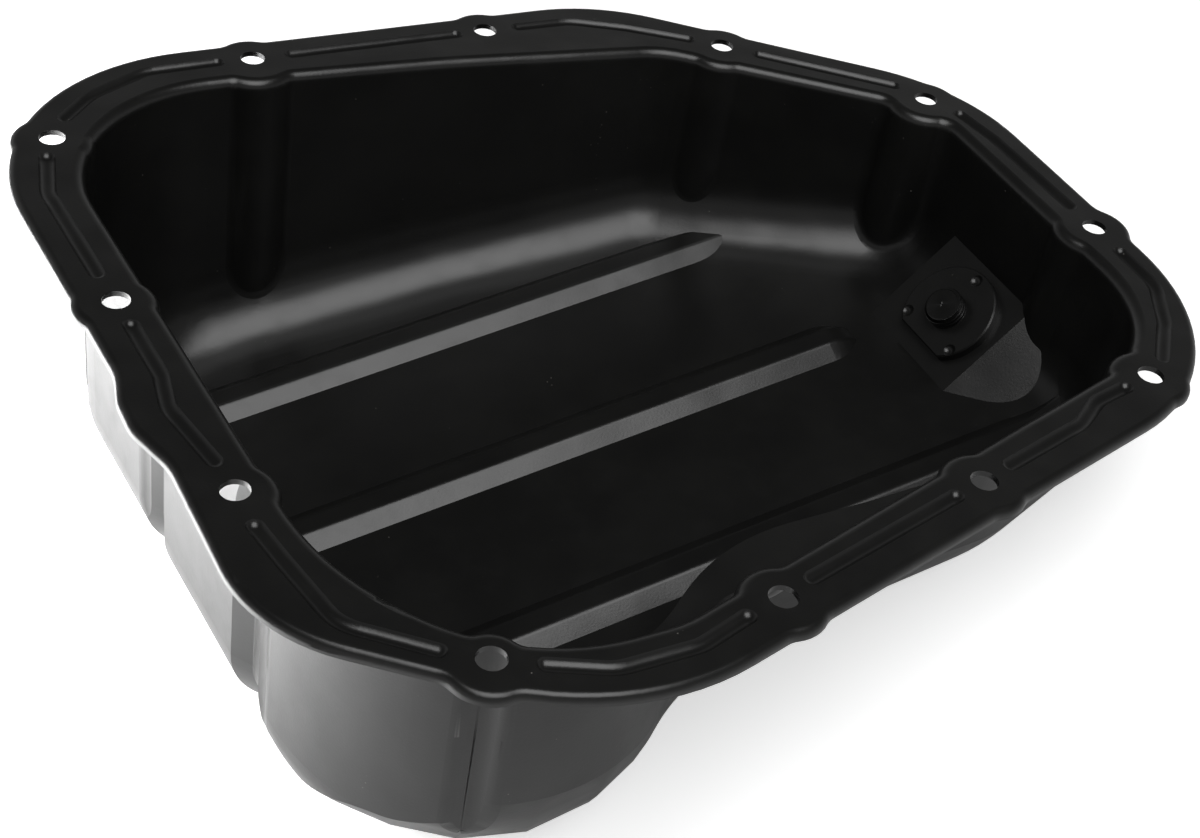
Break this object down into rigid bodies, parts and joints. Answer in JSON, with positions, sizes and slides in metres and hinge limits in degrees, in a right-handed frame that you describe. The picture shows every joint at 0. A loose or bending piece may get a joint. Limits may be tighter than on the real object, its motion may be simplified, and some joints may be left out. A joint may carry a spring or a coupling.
{
  "type": "engine oil pan",
  "caption": "Pressed-steel engine oil pan with a bolted, beaded flange, three floor ribs, a side shelf and an angled drain plug in a corner seat.",
  "frame": {"origin": "centre of the bolt hole at the near left of the flange, on the flange's upper face", "axes": "+Z is the flange's normal, up toward the engine; +X runs along the floor ribs toward the drain; +Y is away from the shelf side"},
  "size_m": [0.2917, 0.2662, 0.0936],
  "materials": {
    "pan_shell": "satin black paint over pressed steel",
    "drain_nut_plate": "satin black paint over steel",
    "drain_gasket": "plain turned washer",
    "drain_plug": "satin black coated steel"
  },
  "bodies": {
    "root": {"pan_shell": "pan_shell", "drain_nut_plate": "drain_nut_plate", "drain_gasket": "drain_gasket", "drain_plug": "drain_plug"}
  },
  "joints": []
}
